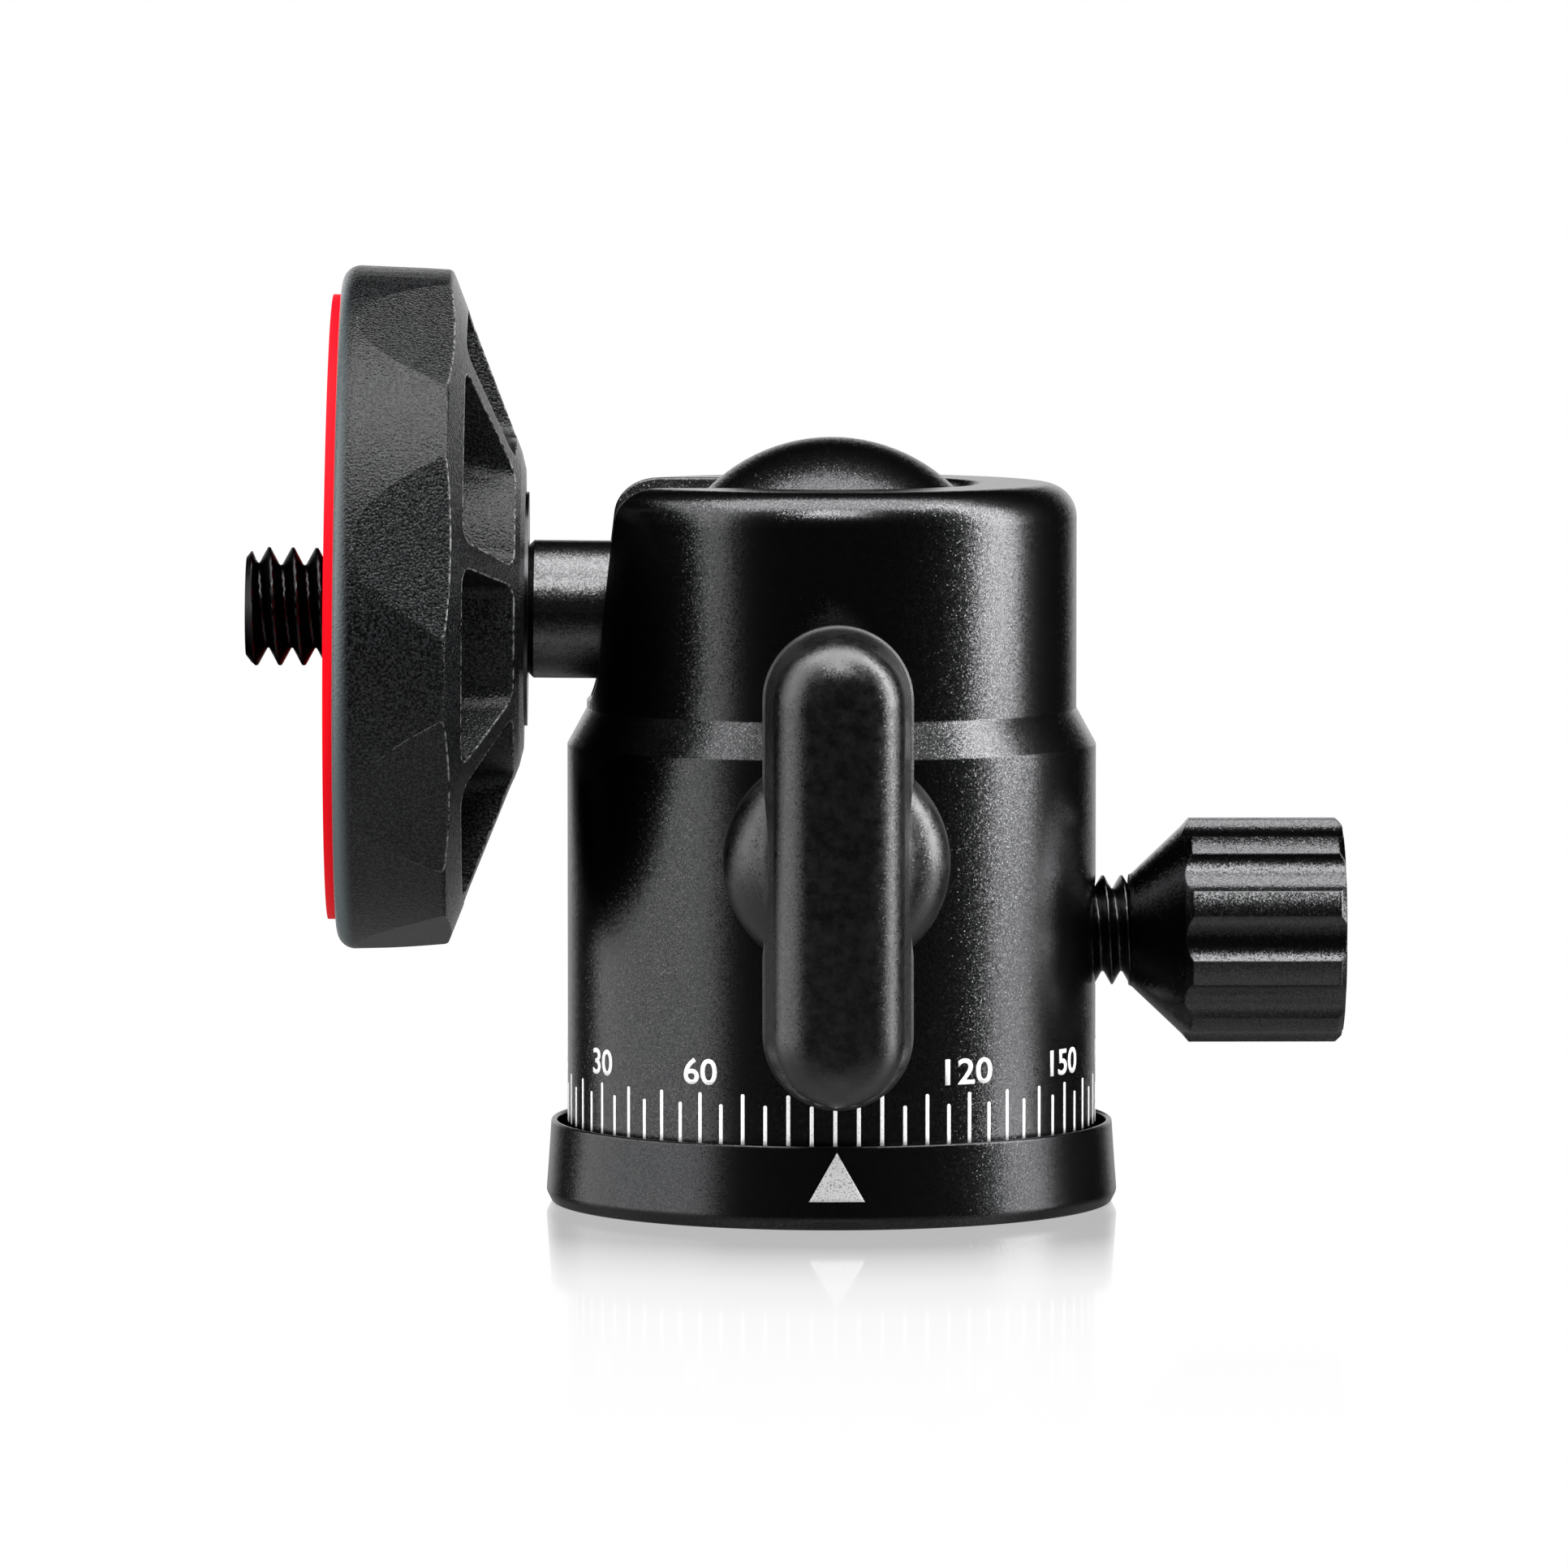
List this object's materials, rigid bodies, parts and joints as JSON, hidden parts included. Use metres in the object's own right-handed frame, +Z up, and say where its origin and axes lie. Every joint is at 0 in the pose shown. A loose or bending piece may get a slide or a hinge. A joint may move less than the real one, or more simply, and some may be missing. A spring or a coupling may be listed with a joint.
{
  "type": "tripod ball head",
  "caption": "Panning ball head: bed disc, barrel housing with drop notch, ball and stem with round padded camera platform, T-bar clamp lever and fluted pan lock knob.",
  "frame": {"origin": "centre of the bed disc's underside, on the pan axis", "axes": "+Z up along the pan axis, +X towards the pan lock knob, -Y towards the clamp lever; the stem lies towards -X at rest"},
  "size_m": [0.0588, 0.0423, 0.0501],
  "materials": {
    "anodised_black": "fine blasted black anodising, satin",
    "knob_black": "blasted black anodising, satin",
    "ball_black": "smooth black anodising, satin",
    "bright_steel": "turned",
    "dark_steel": "black oxide",
    "screw_steel": "black oxide, satin",
    "stem_steel": "dark turned satin",
    "brass": "turned",
    "nylon": "smooth nylon",
    "grip_rubber": "soft matt",
    "platform_plastic": "grained moulding",
    "pad_rubber": "satin red"
  },
  "bodies": {
    "base": {"base_disc": "anodised_black", "base_screws": "dark_steel", "pan_spindle": "bright_steel", "pan_thrust_washer": "nylon"},
    "housing": {"housing": "anodised_black", "upper_ball_seat": "nylon", "retaining_bush": "brass", "spindle_washer": "nylon", "floor_plate": "brass"},
    "wedge": {"wedge_block": "brass"},
    "cup": {"lower_ball_cup": "nylon"},
    "lever": {"lever_stud": "dark_steel", "lever_insert": "brass", "lever_grip": "grip_rubber"},
    "lock_pad": {"pan_lock_pad": "nylon"},
    "pan_lock": {"pan_lock_stud": "dark_steel", "pan_knob": "knob_black"},
    "ball": {"ball": "ball_black"},
    "head": {"stem": "stem_steel", "stem_washer": "dark_steel", "platform": "platform_plastic", "platform_pad": "pad_rubber", "camera_screw": "screw_steel"}
  },
  "joints": [
    {"name": "pan", "type": "hinge", "parent": "base", "child": "housing", "pos_m": [0, 0, 0], "axis": [0, 0, 1], "continuous": true},
    {"name": "ball_tilt", "type": "hinge", "parent": "housing", "child": "ball", "pos_m": [0, 0, 0.0316], "axis": [0, 1, 0], "range_deg": [-3, 114]},
    {"name": "head_spin", "type": "hinge", "parent": "ball", "child": "head", "pos_m": [0, 0, 0.0316], "axis": [-0.9999, 0, 0.0105], "continuous": true},
    {"name": "wedge_slide", "type": "slide", "parent": "housing", "child": "wedge", "axis": [0, -1, 0], "range_m": [0, 0.0004]},
    {"name": "lever_turn", "type": "hinge", "parent": "wedge", "child": "lever", "pos_m": [0, -0.019, 0.0193], "axis": [0, -1, 0], "range_deg": [0, 180]},
    {"name": "cup_slide", "type": "slide", "parent": "housing", "child": "cup", "axis": [0, 0, -1], "range_m": [0, 0.0001]},
    {"name": "lock_pad_slide", "type": "slide", "parent": "housing", "child": "lock_pad", "axis": [1, 0, 0], "range_m": [0, 0.001]},
    {"name": "pan_lock_turn", "type": "hinge", "parent": "lock_pad", "child": "pan_lock", "pos_m": [0.02, 0, 0.0145], "axis": [1, 0, 0], "range_deg": [0, 360]}
  ],
  "couplings": [
    {"joint": "lever_turn", "follows": "wedge_slide", "rad_per_m": 7854},
    {"joint": "cup_slide", "follows": "wedge_slide", "ratio": 0.21256},
    {"joint": "pan_lock_turn", "follows": "lock_pad_slide", "rad_per_m": 6283.2}
  ]
}
